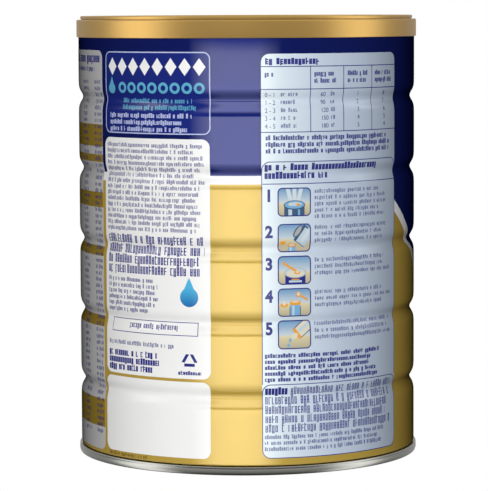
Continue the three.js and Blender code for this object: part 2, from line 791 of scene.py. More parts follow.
@dataclass(frozen=True)
class WallShape:
    """The ribbed side wall that the print lies on."""

    radius: float = 63.5
    foot: float = 3.4
    top: float = 162.0
    rib_heights: tuple[float, ...] = tuple(28 + 26.7 * rib for rib in range(5))
    rib_depth: float = 1.6
    rib_spread: float = 1.68  # from the groove's middle to its steepest place
    rib_reach: float = 8.4  # from its middle to the plain wall
    rib_dip: float = 0.05  # of the shallow dip that the groove lies in
    rib_steps: int = 36
    rib_flats: Point = (9.2, 11.0)  # further bends, where the wall is plain
    closest: float = 0.02  # no bend comes nearer to a piece's end
    straightening: float = 0.65  # how far lines across a groove look straight
    straight_turn: float = math.radians(62)  # up to here they do
    free_turn: float = math.radians(84)  # from here on a line keeps its own turn

    def radius_at(self, height: float) -> float:
        """Outside radius of the wall at a height."""
        for middle in self.rib_heights:
            across = (height - middle) / self.rib_spread
            if abs(height - middle) < self.rib_reach:
                groove = self.rib_depth * math.exp(-across * across / 2)
                dip = 0.5 + 0.5 * math.cos(math.pi * (height - middle) / self.rib_reach)
                return self.radius - groove - self.rib_dip * dip
        return self.radius

    def turn_at(self, u: float, height: float) -> float:
        """Angle at which a place of the print lies.

        Lines across a groove look nearly straight from the front, as in the photograph.

        Args:
            u: Distance round the plain wall.
            height: Height of the place.

        Returns:
            The angle from -Y towards +X.
        """
        turn = u / self.radius
        inner = self.radius_at(height)
        size = abs(turn)
        if inner >= self.radius or size >= self.free_turn:
            return turn
        fade = (size - self.straight_turn) / (self.free_turn - self.straight_turn)
        share = 0.5 + 0.5 * math.cos(math.pi * min(max(fade, 0.0), 1.0))
        share *= self.straightening
        return turn + share * (self.radius - inner) / inner * math.tan(turn)

    def levels(self, bottom: float, top: float) -> list[float]:
        """Heights at which the wall bends, between two heights.

        Args:
            bottom: The lower height.
            top: The upper height.

        Returns:
            The heights in order, without the two given.
        """
        near = [
            self.rib_reach * (2 * step / self.rib_steps - 1)
            for step in range(self.rib_steps + 1)
        ]
        near += [side * away for away in self.rib_flats for side in (-1, 1)]
        found = sorted(middle + away for middle in self.rib_heights for away in near)
        low, high = bottom + self.closest, top - self.closest
        return [height for height in found if low < height < high]

    def wrap(self, piece: bpy.types.Object, lift: float) -> None:
        """Bends a flat piece, which stands in the XZ plane, onto the wall.

        Args:
            piece: The piece. Its X is u and its Z the height.
            lift: How far it stands out from the wall.
        """
        for vertex in piece.data.vertices:
            height = vertex.co.z / MM
            angle = self.turn_at(vertex.co.x / MM, height)
            reach = (self.radius_at(height) + lift) * MM - vertex.co.y
            vertex.co = (reach * math.sin(angle), -reach * math.cos(angle), vertex.co.z)
        piece.data.update()


@dataclass(frozen=True)
class Skin:
    """A thin printed plate that lies on the wall."""

    wall: WallShape
    lift: float = 0.06
    thickness: float = 0.1
    turn_step: float = 1.6  # width of a flat round the wall
    corner_steps: int = 7

    def cut(self, area: Area) -> None:
        """Cuts the mesh that is being edited into strips that can bend with the wall.

        Args:
            area: The area that the mesh covers.
        """
        columns = max(1, round(area.width / self.turn_step))
        for column in range(1, columns):
            across = area.left + area.width * column / columns
            bpy.ops.mesh.select_all(action="SELECT")
            bpy.ops.mesh.bisect(plane_co=(across * MM, 0, 0), plane_no=(1, 0, 0))
        for height in self.wall.levels(area.bottom, area.top):
            bpy.ops.mesh.select_all(action="SELECT")
            bpy.ops.mesh.bisect(plane_co=(0, 0, height * MM), plane_no=(0, 0, 1))

    def lay(self, piece: bpy.types.Object, area: Area, lift: float) -> None:
        """Lays a flat piece on the wall and turns it into a closed plate.

        Args:
            piece: The active piece, which stands in the XZ plane.
            area: The area that it covers.
            lift: How far its face stands out from the wall.
        """
        start_editing()
        bpy.ops.mesh.remove_doubles(threshold=WELD_DISTANCE)
        self.cut(area)
        bpy.ops.object.mode_set(mode="OBJECT")
        print_wall_map(piece)
        self.wall.wrap(piece, lift)
        bpy.ops.object.modifier_add(type="SOLIDIFY")
        piece.modifiers[-1].thickness = self.thickness * MM
        piece.modifiers[-1].offset = -1.0
        bpy.ops.object.modifier_apply(modifier=piece.modifiers[-1].name)
        bpy.ops.object.shade_smooth_by_angle(angle=SMOOTH_ANGLE)

    def plate(
        self, name: str, area: Area, square: Iterable[str] = ()
    ) -> bpy.types.Object:
        """Makes a plate with rounded corners on the wall.

        Args:
            name: Name of the new piece.
            area: Where it lies and how round its corners are.
            square: Which ends, "top" or "bottom", keep square corners.

        Returns:
            The plate, with its print map and bake map.
        """
        deselect_objects()
        bpy.ops.mesh.primitive_plane_add(size=1, rotation=(math.pi / 2, 0, 0))
        piece = bpy.context.object
        piece.name = piece.data.name = name
        piece.scale = (area.width * MM, area.height * MM, 1)
        piece.location = (area.middle[0] * MM, 0, area.middle[1] * MM)
        bpy.ops.object.transform_apply(location=True, rotation=True, scale=True)
        ends = tuple(square)
        if area.corner:
            start_editing()
            bpy.ops.mesh.select_all(action="DESELECT")
            bpy.ops.object.mode_set(mode="OBJECT")
            for vertex in piece.data.vertices:
                upper = vertex.co.z > area.middle[1] * MM
                vertex.select = ("top" if upper else "bottom") not in ends
            bpy.ops.object.mode_set(mode="EDIT")
            bpy.ops.mesh.bevel(
                offset=area.corner * MM, segments=self.corner_steps, affect="VERTICES"
            )
            bpy.ops.object.mode_set(mode="OBJECT")
        self.lay(piece, area, self.lift)
        bake_plate_map(piece)
        return piece


@dataclass(frozen=True)
class Figure:
    """A plain number that is printed on the wall."""

    text: str
    left: float
    foot: float
    height: float
    bold: float = 0.0


@dataclass(frozen=True)
class Figures:
    """Plain numbers as thin plates on the wall."""

    skin: Skin
    cap_share: float = 0.73  # height of a figure, as a share of the type size
    squeeze: float = 0.92  # width against the type's own
    lift: float = 0.04  # above the skin's face
    curve_steps: int = 5

    def make(self, name: str, figures: Sequence[Figure]) -> bpy.types.Object:
        """Sets the numbers and joins them into one piece.

        Args:
            name: Name of the new piece.
            figures: The numbers.

        Returns:
            The piece.
        """
        parts = [self.one(figure) for figure in figures]
        deselect_objects()
        for part in parts:
            part.select_set(True)
        bpy.context.view_layer.objects.active = parts[0]
        if len(parts) > 1:
            bpy.ops.object.join()
        piece = bpy.context.object
        piece.name = piece.data.name = name
        return piece

    def one(self, figure: Figure) -> bpy.types.Object:
        """Sets one number on the wall."""
        deselect_objects()
        bpy.ops.object.text_add()
        letter = bpy.context.object
        letter.data.body = figure.text
        letter.data.size = figure.height / self.cap_share * MM
        letter.data.offset = figure.bold * MM
        letter.data.resolution_u = self.curve_steps
        bpy.ops.object.convert(target="MESH")
        piece = bpy.context.object
        piece.scale = (self.squeeze, 1, 1)
        piece.rotation_euler = (math.pi / 2, 0, 0)
        piece.location = (figure.left * MM, 0, figure.foot * MM)
        bpy.ops.object.transform_apply(location=True, rotation=True, scale=True)
        across = [vertex.co.x / MM for vertex in piece.data.vertices]
        up = [vertex.co.z / MM for vertex in piece.data.vertices]
        area = Area(min(across), max(across), min(up), max(up))
        self.skin.lay(piece, area, self.skin.lift + self.lift)
        return piece


@dataclass(frozen=True)
class PlainInk(Artwork):
    """One ink all over, with the faint unevenness of a printed solid."""

    tint: Ink
    shine: ClassVar[float] = 0.0

    def draw(self, graph: Graph, u: Value, z: Value) -> Drawn:
        """Lays the ink down."""
        return Drawn(graph.solid(self.tint, 0.93, 300.0), self.shine)


@dataclass(frozen=True)
class WallPrint(Artwork):
    """The fields of the side wall: dark blue over gold, parted by a white line."""

    stripe_height: float = 106.5
    stripe_half: float = 1.5
    front_u: float = 199.5  # the middle of the tin's front
    dip_height: float = 36.0  # the line's height across the front
    dip_start: float = 55.2
    dip_run: float = 107.6
    left_squeeze: float = 1.25  # the line starts to fall later on the left
    bulge: float = 3.4  # the line is thicker on its slope
    weld: Point = (-137.0, -128.5)  # unprinted strip along the side weld
    code: SmallPrint = SmallPrint(
        -59.2, -39.3, 4.57, 2.0, 1, 1.1, 0.62, ragged=0.0, seed=3
    )
    navy_shine: float = 0.38  # metal that shows through the dark ink
    gold_dulling: float = 0.16  # less of it through the gold
    weld_shine: float = 0.4

    def draw(self, graph: Graph, u: Value, z: Value) -> Drawn:
        """Draws the fields, the line, the small code and the weld strip."""
        right = (self.front_u - u) * (u > 0.0)
        left = (self.front_u + u) * self.left_squeeze * (1 - (u > 0.0))
        share = ((right + left - self.dip_start) / self.dip_run).clamped()
        rise = 0.5 - 0.5 * graph.math("COSINE", share * math.pi)
        line = rise * (self.stripe_height - self.dip_height) + self.dip_height
        half = share * (1 - share) * self.bulge + self.stripe_half
        above = z - line
        gold = above.under(0.0)
        stripe = abs(above).under(half)
        navy = graph.solid(Ink.NAVY, 0.9, 160.0)
        brass = graph.solid(Ink.GOLD, 0.95, 160.0)
        colour = graph.paint(graph.paint(navy, brass, gold), Ink.WHITE, stripe)
        colour = graph.paint(colour, Ink.BROWN, self.code.ink(graph, u, z) * 0.85)
        weld = u.within(self.weld[0], self.weld[1], 0.3)
        colour = graph.paint(colour, Ink.STEEL, weld)
        ink_shine = (1 - stripe) * (self.navy_shine - gold * self.gold_dulling)
        shine = ink_shine.most(weld * self.weld_shine)
        return Drawn(colour, shine)


@dataclass(frozen=True)
class PrintedPanel(Artwork):
    """A panel of one ground colour with bands, lines and small print on it."""

    area: Area
    ground: Ink = Ink.WHITE
    ink: Ink = Ink.TEXT_BLUE
    bands: tuple[Point, ...] = ()
    blocks: tuple[SmallPrint, ...] = ()
    rules: tuple[Area, ...] = ()  # solid bars and lines
    frames: tuple[Area, ...] = ()  # outlined boxes
    frame_width: float = 0.28
    band_shine: float = 0.25

    def draw(self, graph: Graph, u: Value, z: Value) -> Drawn:
        """Draws the panel from the ground up."""
        colour: Tint = self.paper(graph, u)
        shine: Number = 0.0
        if self.bands:
            band = masks(z.within(low, high) for low, high in self.bands)
            colour = graph.paint(colour, Ink.BAND_GOLD, band)
            shine = band * self.band_shine
        marks = [block.ink(graph, u, z) for block in self.blocks]
        marks += [
            u.within(rule.left, rule.right) * z.within(rule.bottom, rule.top)
            for rule in self.rules
        ]
        marks += [
            abs(graph.rounded_box(u, z, frame)).under(self.frame_width / 2)
            for frame in self.frames
        ]
        if marks:
            colour = graph.paint(colour, self.ink, masks(marks))
        return Drawn(self.extras(graph, u, z, colour), shine)

    def extras(self, graph: Graph, u: Value, z: Value, colour: Tint) -> Tint:
        """Adds what only some panels have."""
        return colour

    def paper(self, graph: Graph, u: Value) -> Colour:
        """The ground with the faint unevenness of a printed solid."""
        return graph.solid(self.ground, 0.965, 220.0)


@dataclass(frozen=True)
class GuidePanel(PrintedPanel):
    """A pale blue panel, printed almost white at its left edge and deeper at its right;
    the fade also carries painted light: a painted highlight at the left and painted
    shade at the right.
    """

    ground: Ink = Ink.PALE_BLUE
    fade: Point = (5.0, 44.0)
    end_share: float = 0.8  # brightness at its right edge: printed deeper blue plus painted shade where the light falls off

    def paper(self, graph: Graph, u: Value) -> Colour:
        """The ground, from almost white to pale blue: a printed fade that also paints
        the highlight at the left and the shade at the right.
        """
        share = ((self.fade[1] - u) / (self.fade[1] - self.fade[0])).clamped()
        shaded_right = shaded(self.ground, self.end_share)
        # painted shade: the right end darkens as the light falls off there, on top of
        # the printed blue
        end = ((u - self.fade[1]) / (self.area.right - self.fade[1])).clamped()
        pale = graph.paint(super().paper(graph, u), shaded_right, end)
        # painted highlight: the left end, nearest the front light, turns almost white,
        # on top of the printed fade
        return graph.paint(pale, Ink.ICE, share * share)


@dataclass(frozen=True)
class Drop:
    """A plain drop: a round bowl under a straight cone."""

    middle: Point  # of the bowl
    radius: float
    tip: float  # height of the cone's tip above the middle
    waist: float  # half width of the cone at the middle
    blur: float = 0.08

    def mask(self, graph: Graph, u: Value, z: Value) -> Value:
        """A mask that fills the drop."""
        bowl = graph.ellipse(u, z, self.middle, (self.radius, self.radius), self.blur)
        narrowing = (1 - (z - self.middle[1]) / self.tip) * self.waist
        cone = abs(u - self.middle[0]).under(narrowing) * (z > self.middle[1])
        return bowl.most(cone)


@dataclass(frozen=True)
class NoticePanel(PrintedPanel):
    """A text panel with a plain drop and a triangle of three bars in its corner."""

    drop: Drop = Drop((-21.4, 64.2), 3.5, 3.5 * 2.05, 3.5 * 0.93, 0.05)
    drop_foot: Rgb = (0.02, 0.13, 0.42)
    drop_head: Rgb = (0.08, 0.46, 0.72)
    triangle: Point = (-21.4, 41.4)
    triangle_reach: float = 1.75  # from its middle to a side
    bar_half: float = 0.55

    def extras(self, graph: Graph, u: Value, z: Value, colour: Tint) -> Tint:
        """Adds the drop and the triangle."""
        height = (z - self.drop.middle[1]) / (self.drop.radius * 2) + 0.5
        blue = graph.paint(self.drop_foot, self.drop_head, height.clamped())
        colour = graph.paint(colour, blue, self.drop.mask(graph, u, z))
        across, up = u - self.triangle[0], z - self.triangle[1]
        slant = abs(across) * math.cos(math.pi / 6) + up * 0.5
        edge = slant.most(-up)
        reach = self.triangle_reach
        bars = edge.within(reach - self.bar_half, reach + self.bar_half)
        foot_gap = abs(across).under(reach * 1.15)
        top_gap = (up < reach * 1.25) * (up > -reach * 0.45)
        kept = (foot_gap * (up < 0.0)).most(top_gap)
        return graph.paint(colour, self.ink, bars * kept)


@dataclass(frozen=True)
class ContactPanel(PrintedPanel):
    """A dark panel with an outline, a row of white lozenges and one of teal rings."""

    lozenges: Point = (-55.6, 146.9)
    lozenge_pitch: float = 5.5
    lozenge_half: Point = (2.35, 3.2)
    dots: Point = (-50.1, 139.3)
    dot_pitch: float = 4.71
    dot_radius: float = 1.9
    drop: Drop = Drop((-56.0, 138.9), 1.9, 4.3, 1.75)
    teal_print: SmallPrint = SmallPrint(
        -50.0, -17.0, 134.5, 2.35, 2, 1.25, 0.8, 0.28, 5.0, 51
    )

    def extras(self, graph: Graph, u: Value, z: Value, colour: Tint) -> Tint:
        """Adds the rows of plain shapes."""
        inner = (u > self.lozenges[0] - 2.7) * (u < self.area.right - 1.6)
        place = (u - self.lozenges[0]) / self.lozenge_pitch + 0.5
        across = abs(place - place.floor() - 0.5) * self.lozenge_pitch
        up = abs(z - self.lozenges[1])
        slant = across / self.lozenge_half[0] + up / self.lozenge_half[1]
        colour = graph.paint(colour, Ink.WHITE, slant.under(1.0) * inner)
        place = (u - self.dots[0]) / self.dot_pitch + 0.5
        across = (place - place.floor() - 0.5) * self.dot_pitch
        up = z - self.dots[1]
        reach = graph.math("SQRT", across * across + up * up)
        rings = abs(reach - self.dot_radius * 0.8).under(0.5)
        dots = rings * (u > self.dots[0] - self.dot_pitch / 2) * inner
        marks = [dots, self.drop.mask(graph, u, z), self.teal_print.ink(graph, u, z)]
        colour = graph.paint(colour, Ink.TEAL, masks(marks))
        edge = graph.rounded_box(u, z, self.area)
        return graph.paint(colour, Ink.OUTLINE, edge.within(-0.42, 2.0))


@dataclass(frozen=True)
class Spot:
    """One plain form in a step's picture, placed from the picture's middle."""

    middle: Point
    half: Point
    tint: Ink
    turn: float = 0.0  # degrees

    def mask(self, graph: Graph, across: Value, up: Value) -> Value:
        """A mask that fills the form."""
        aside, above = across - self.middle[0], up - self.middle[1]
        if self.turn:
            turn = math.radians(self.turn)
            cosine, sine = math.cos(turn), math.sin(turn)
            aside, above = aside * cosine + above * sine, above * cosine - aside * sine
        return self.fill(graph, aside, above)

    def fill(self, graph: Graph, aside: Value, above: Value) -> Value:
        """The form's own mask, about its middle."""
        raise NotImplementedError


class Bar(Spot):
    """A plain rectangle."""

    def fill(self, graph: Graph, aside: Value, above: Value) -> Value:
        """A mask between straight sides."""
        return abs(aside).under(self.half[0]) * abs(above).under(self.half[1])


class Round(Spot):
    """A plain ellipse."""

    def fill(self, graph: Graph, aside: Value, above: Value) -> Value:
        """A mask inside the ellipse."""
        return graph.ellipse(aside, above, (0.0, 0.0), self.half)


class Picture(Enum):
    """The pictures of the five steps, each a list of plain forms."""

    POT = (
        Bar((-1.9, 2.4), (0.7, 2.6), Ink.STEAM, 14),
        Bar((0.0, 2.6), (0.7, 2.6), Ink.STEAM),
        Bar((1.9, 2.4), (0.7, 2.6), Ink.STEAM, -14),
        Bar((0.0, -3.3), (3.8, 2.3), Ink.SLATE),
        Bar((-1.6, -3.2), (0.7, 2.0), Ink.GLASS),
        Bar((1.7, -3.2), (0.4, 2.0), Ink.WATER),
        Round((0.0, -1.1), (4.0, 1.7), Ink.SLATE),
        Round((0.0, -1.0), (3.6, 1.35), Ink.WATER),
        Round((0.3, -0.7), (2.4, 0.7), Ink.GLASS),
        Round((-1.5, -0.8), (0.75, 0.45), Ink.CREAM),
        Round((1.4, -1.0), (0.75, 0.45), Ink.AMBER),
    )
    JUG = (
        Bar((3.6, 0.6), (2.5, 3.4), Ink.SLATE, -36),
        Bar((3.9, 0.2), (2.0, 3.0), Ink.GLASS, -36),
        Bar((4.3, 0.9), (0.7, 2.9), Ink.STEAM, -36),
        Round((1.2, 2.4), (2.6, 1.1), Ink.SLATE, 54),
        Round((1.3, 2.4), (2.2, 0.75), Ink.STEEL, 54),
        Bar((-0.6, -1.1), (0.2, 1.9), Ink.GLASS),
        Bar((-0.9, -4.1), (1.4, 1.3), Ink.WATER),
        Bar((-1.3, -4.0), (0.35, 1.2), Ink.GLASS),
        Round((-0.9, -2.6), (1.7, 0.75), Ink.AMBER),
        Round((-0.9, -2.5), (1.1, 0.4), Ink.CREAM),
        Round((-4.3, -1.4), (0.5, 0.6), Ink.CREAM),
        Round((-4.3, -1.7), (1.1, 0.7), Ink.AMBER),
    )
    SCOOP = (
        Bar((0.3, -3.2), (3.8, 2.3), Ink.TEXT_BLUE),
        Round((0.3, -0.9), (4.1, 1.9), Ink.STEEL),
        Round((0.3, -0.9), (3.8, 1.65), Ink.GLASS),
        Round((0.3, -1.2), (3.2, 1.2), Ink.CREAM),
        Bar((-1.7, 1.1), (3.2, 0.42), Ink.AMBER, -32),
        Round((1.0, -0.7), (1.2, 0.75), Ink.AMBER),
        Round((1.1, -0.55), (0.8, 0.42), Ink.CREAM),
        Bar((0.3, -4.0), (2.4, 0.35), Ink.GLASS),
        Bar((0.3, -3.3), (1.5, 0.2), Ink.AMBER),
    )
    BOTTLE = (
        Bar((0.2, -3.4), (2.1, 2.0), Ink.SLATE),
        Bar((0.2, -3.4), (1.8, 2.0), Ink.WATER),
        Round((0.2, -1.5), (2.0, 1.0), Ink.WATER),
        Bar((-0.5, -2.9), (0.4, 1.8), Ink.GLASS),
        Bar((0.2, -0.4), (2.0, 0.55), Ink.AMBER),
        Round((0.2, 0.2), (2.0, 0.6), Ink.AMBER),
        Round((0.2, 0.3), (1.4, 0.35), Ink.CREAM),
        Round((1.4, 2.9), (0.9, 1.0), Ink.AMBER),
        Bar((3.4, 1.7), (1.9, 0.35), Ink.AMBER, -30),
        Round((1.4, 3.0), (0.55, 0.6), Ink.CREAM),
        Round((-3.9, -0.9), (1.5, 0.7), Ink.AMBER),
        Round((-3.9, -0.2), (0.6, 0.9), Ink.CREAM),
    )
    DROPS = (
        Bar((3.2, 2.2), (2.2, 3.1), Ink.SLATE, -52),
        Bar((3.2, 2.2), (1.9, 3.0), Ink.CREAM, -52),
        Bar((3.7, 2.8), (0.5, 2.8), Ink.GLASS, -52),
        Bar((0.9, 0.4), (2.1, 0.6), Ink.AMBER, -52),
        Round((0.0, -0.4), (1.3, 0.9), Ink.CREAM, 38),
        Round((-1.7, -2.0), (0.5, 0.75), Ink.WATER),
        Round((-2.3, -3.8), (0.5, 0.75), Ink.WATER),
    )


@dataclass(frozen=True)
class StepPicture(Artwork):
    """A small picture of sky over sand with plain forms and a blue border."""

    area: Area
    picture: Picture
    border: float = 0.42
    horizon: float = 0.47  # share of the height
    wet_sand: Rgb = (0.46, 0.42, 0.30)

    def draw(self, graph: Graph, u: Value, z: Value) -> Drawn:
        """Draws the ground, the forms and the border."""
        across, up = u - self.area.middle[0], z - self.area.middle[1]
        level = (up / self.area.height + 0.5).clamped()
        haze = graph.paint(Ink.STEAM, Ink.SKY, ((level - 0.42) * 2.0).clamped())
        beach = graph.paint(self.wet_sand, Ink.SAND, (level * 2.2).clamped())
        colour: Tint = graph.paint(haze, beach, level.under(self.horizon, 0.12))
        for spot in self.picture.value:
            colour = graph.paint(colour, spot.tint, spot.mask(graph, across, up))
        edge = graph.rounded_box(u, z, self.area)
        colour = graph.paint(colour, Ink.TEXT_BLUE, (-edge).under(self.border))
        return Drawn(colour, 0.0)


@dataclass(frozen=True)
class FrontPanel(Artwork):
    """The plain front label: a light field in a gold line, with a plain gold disc."""

    area: Area
    disc: Point
    disc_radius: float = 9.0
    line_place: Point = (-2.6, -1.4)  # from the label's edge, inwards
    shine: float = 0.3

    def draw(self, graph: Graph, u: Value, z: Value) -> Drawn:
        """Draws the field, its line and its disc."""
        edge = graph.rounded_box(u, z, self.area)
        line = edge.within(*self.line_place)
        radii = (self.disc_radius, self.disc_radius)
        gold = line.most(graph.ellipse(u, z, self.disc, radii, 0.01))
        ground = graph.solid(Ink.WHITE, 0.96, 220.0)
        return Drawn(graph.paint(ground, Ink.GOLD, gold), gold * self.shine)


@dataclass
class TinBody:
    """The printed side wall with its panels, pictures and plain numbers."""

    shape: WallShape = field(default_factory=WallShape)
    lacquer: Lacquer = field(default_factory=Lacquer)
    turn_steps: int = 288
    foot_inset: float = 0.35
    cap_inset: float = 2.4  # how far the closed foot stands back inside the wall
    rim_width: float = 0.8
    step_heights: tuple[float, ...] = (98.55, 85.6, 74.0, 62.4, 50.7)

    def build(self) -> None:
        """Makes and dresses the wall and all that is printed on it."""
        self.wall()
        self.left_panels()
        self.guide()
        self.front()

    def add(self, piece: bpy.types.Object, artwork: Artwork) -> bpy.types.Object:
        """Args:
            piece: The piece.
            artwork: Its print.

        Returns:
            The same piece.
        """
        self.lacquer.dress(piece, artwork)
        return declare(piece, "printed_steel")

    def panel(
        self, name: str, artwork: PrintedPanel, square: Iterable[str] = ()
    ) -> None:
        """Makes and dresses a printed panel.

        Args:
            name: Name of the new piece.
            artwork: Its print, which knows its area.
            square: Which ends, "top" or "bottom", keep square corners.
        """
        self.add(Skin(self.shape).plate(name, artwork.area, square), artwork)

    def wall(self) -> None:
        """Turns the ribbed wall, closed at its top and behind its foot."""
        shape = self.shape
        inner = shape.radius - self.rim_width
        levels = shape.levels(shape.foot + 0.5, shape.top)
        profile = [
            (0.0, shape.foot + self.cap_inset),
            (inner, shape.foot + self.cap_inset),
            (inner, shape.foot + 0.1),
            (shape.radius - self.foot_inset, shape.foot),
            (shape.radius, shape.foot + 0.45),
            *((shape.radius_at(height), height) for height in levels),
            (shape.radius, shape.top),
            (0.0, shape.top),
        ]
        piece = turned("tin_wall", profile, self.turn_steps)
        map_turned(piece, shape.radius)
        bake_wall_map(piece)
        self.add(piece, WallPrint())
        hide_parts("tin_body")

    def left_panels(self) -> None:
        """Makes the table at the left edge and the three panels beside it."""
        table = Area(-124.5, -62.5, 4.8, 152.6, 2.8)
        bands = (
            (117.29, 125.42), (111.56, 114.33), (94.87, 100.44),
            (77.01, 80.36), (50.82, 54.57), (13.33, 23.72),
        )
        rows = {"first": 140.9, "pitch": 2.35, "rows": 56, "height": 1.15}
        blocks = (
            SmallPrint(-122.0, -63.4, 149.4, 4.0, 1, 2.5, 1.6, 0.4, 2.0, 41),
            SmallPrint(-90.0, -67.8, 145.6, 2.4, 1, 1.4, 0.85, 0.34, 1.0, 42),
            SmallPrint(-68.6, -63.0, **rows, step=0.8, ragged=0.0, seed=43),
            SmallPrint(-80.6, -74.0, **rows, step=0.8, ragged=2.0, seed=44),
            SmallPrint(-121.8, -88.0, **rows, step=0.8, ragged=16.0, seed=45),
        )
        look = PrintedPanel(table, Ink.GREY_WHITE, bands=bands, blocks=blocks)
        self.panel("table_panel", look)

        contact = Area(-59.9, -13.05, 122.7, 152.3, 2.6)
        blocks = (SmallPrint(-57.0, -17.5, 129.2, 2.45, 3, 1.3, 0.85, 0.36, 9.0, 52),)
        look = ContactPanel(contact, Ink.NAVY_LIGHT, Ink.OUTLINE, blocks=blocks)
        self.panel("contact_panel", look)

        notice = Area(-60.5, -13.4, 34.6, 121.1, 2.9)
        blocks = (
            SmallPrint(-59.0, -15.2, 118.46, 2.169, 15, 1.15, 0.78, 0.27, 5.0, 61),
            SmallPrint(-58.7, -14.9, 84.22, 3.667, 4, 2.75, 1.3, 0.33, 3.0, 62),
            SmallPrint(-58.7, -33.0, 69.41, 2.2, 6, 1.2, 0.78, 0.3, 6.0, 63),
            SmallPrint(-47.4, -26.1, 52.8, 2.4, 1, 1.5, 0.95, 0.34, 0.0, 64),
            SmallPrint(-58.7, -27.6, 46.1, 2.4, 1, 1.2, 0.78, 0.27, 0.0, 65),
            SmallPrint(-58.8, -32.6, 42.28, 2.66, 3, 2.0, 1.12, 0.44, 5.0, 66),
            SmallPrint(-25.8, -17.0, 36.6, 2.4, 1, 1.1, 0.95, 0.4, 0.0, 67),
        )
        frame = Area(-56.7, -18.2, 50.25, 54.8, 0.05)
        look = NoticePanel(notice, blocks=blocks, frames=(frame,))
        self.panel("notice_panel", look)

        self.panel("date_panel", PrintedPanel(Area(-60.8, -13.6, 5.7, 33.5, 2.9)))

    def guide(self) -> None:
        """Makes the pale panel at the right: a table, five steps and notes."""
        left, right = 5.1, 64.9
        rule = 0.15
        table = Area(left, right, 113.15, 151.55, 3.0)
        rows, columns = (147.0, 138.87, 123.6), (23.37, 36.95, 50.56)
        rules = (
            *(Area(left - 1, right + 1, z - rule, z + rule) for z in rows),
            *(Area(u - rule, u + rule, rows[-1], rows[0]) for u in columns),
        )
        blocks = (
            SmallPrint(6.6, 26.6, 148.75, 2.6, 1, 1.95, 1.35, 0.42, 0.0, 71),
            SmallPrint(6.4, 9.6, 144.1, 2.4, 1, 1.35, 0.8, 0.36, 0.0, 72),
            SmallPrint(24.8, 35.4, 144.2, 2.5, 2, 1.35, 0.8, 0.36, 4.0, 73),
            SmallPrint(38.7, 48.7, 144.2, 2.5, 2, 1.35, 0.8, 0.36, 2.0, 74),
            SmallPrint(52.2, 62.6, 144.2, 2.5, 2, 1.35, 0.8, 0.36, 1.0, 75),
            SmallPrint(12.2, 19.6, 136.95, 2.8, 5, 1.2, 0.92, 0.24, 2.2, 76),
            SmallPrint(31.5, 33.4, 136.95, 2.8, 5, 1.2, 0.92, 0.24, 0.0, 77),
            SmallPrint(6.7, 61.4, 121.45, 2.36, 3, 1.35, 0.9, 0.38, 4.0, 78),
        )
        look = GuidePanel(table, blocks=blocks, rules=rules)
        self.panel("guide_table", look, square=("bottom",))

        steps = Area(left, right, 32.9, 113.15, 3.0)
        blocks = [
            SmallPrint(6.3, 53.0, 110.95, 3.05, 1, 2.0, 1.35, 0.42, 0.0, 81),
            SmallPrint(6.3, 30.2, 107.9, 3.05, 1, 2.0, 1.35, 0.42, 0.0, 82),
            SmallPrint(24.8, 61.7, 102.19, 2.27, 5, 1.1, 0.92, 0.22, 8.0, 83),
            SmallPrint(6.15, 56.7, 43.15, 2.16, 5, 1.2, 0.95, 0.4, 9.0, 84),
        ]
        blocks += [
            SmallPrint(24.8, 62.0, top, 2.35, 3, 1.1, 0.92, 0.22, 8.0, 85 + number)
            for number, top in enumerate((89.19, 77.45, 65.9, 54.2))
        ]
        frame = Area(left + rule, right - rule, 20.0, 113.15 - rule, 3.0)
        rules = (Area(left - 1, right + 1, 105.1 - rule, 105.1 + rule),)
        look = GuidePanel(
            steps, blocks=tuple(blocks), rules=rules, frames=(frame,), frame_width=0.3
        )
        self.panel("guide_steps", look, square=("top", "bottom"))

        notes = Area(left, right, 5.96, 32.9, 3.0)
        blocks = (
            SmallPrint(6.2, 14.4, 30.2, 3.35, 1, 2.5, 1.2, 0.46, 0.0, 91),
            SmallPrint(15.6, 61.8, 30.2, 3.35, 1, 2.5, 1.2, 0.27, 0.0, 92),
            SmallPrint(6.2, 61.8, 26.85, 3.35, 4, 2.5, 1.2, 0.27, 5.0, 93),
            SmallPrint(6.0, 58.5, 13.7, 2.17, 3, 1.15, 0.76, 0.27, 6.0, 94),
        )
        frame = Area(left + rule, right - rule, 5.96 + rule, 32.9 - rule, 3.0)
        look = GuidePanel(notes, blocks=blocks, frames=(frame,), frame_width=0.3)
        self.panel("guide_notes", look, square=("top",))
        self.step_pictures()
        self.guide_figures()

    def step_pictures(self) -> None:
        """Makes the five small pictures beside the steps."""
        skin = Skin(self.shape, lift=0.1)
        for number, (height, picture) in enumerate(zip(self.step_heights, Picture), 1):
            area = Area(10.9, 23.35, height - 5.15, height + 5.15, 1.7)
            piece = skin.plate(f"step_picture_{number}", area)
            self.add(piece, StepPicture(area, picture))

    def guide_figures(self) -> None:
        """Sets the plain numbers of the steps and of the table."""
        setter = Figures(Skin(self.shape))
        steps = [
            Figure(str(number), 6.4, height + 0.4 - 0.02 * number, 4.3, 0.24)
            for number, height in enumerate(self.step_heights, 1)
        ]
        self.add(setter.make("step_numbers", steps), PlainInk(Ink.TEXT_BLUE))
        table: list[Figure] = []
        for row in range(5):
            foot = 136.95 - 2.8 * row - 0.8
            table += [
                Figure(f"{row} - {row + 1}", 6.4, foot, 1.65),
                Figure(str(60 + 30 * row), 27.4, foot, 1.65),
                Figure(str(row + 1), 43.2, foot, 1.65),
                Figure(str(8 - row), 57.2, foot, 1.65),
            ]
        self.add(setter.make("table_numbers", table), PlainInk(Ink.TEXT_BLUE))

    def front(self) -> None:
        """Makes the plain label on the tin's front."""
        skin = Skin(self.shape)
        label = Area(161.5, 237.5, 74.0, 146.0, 16.0)
        disc = (199.5, 92.0)
        self.add(skin.plate("front_label", label), FrontPanel(label, disc))
        number = Figure("1", 197.4, 87.4, 9.2, 0.3)
        setter = Figures(skin)
        self.add(setter.make("front_number", [number]), PlainInk(Ink.WHITE))


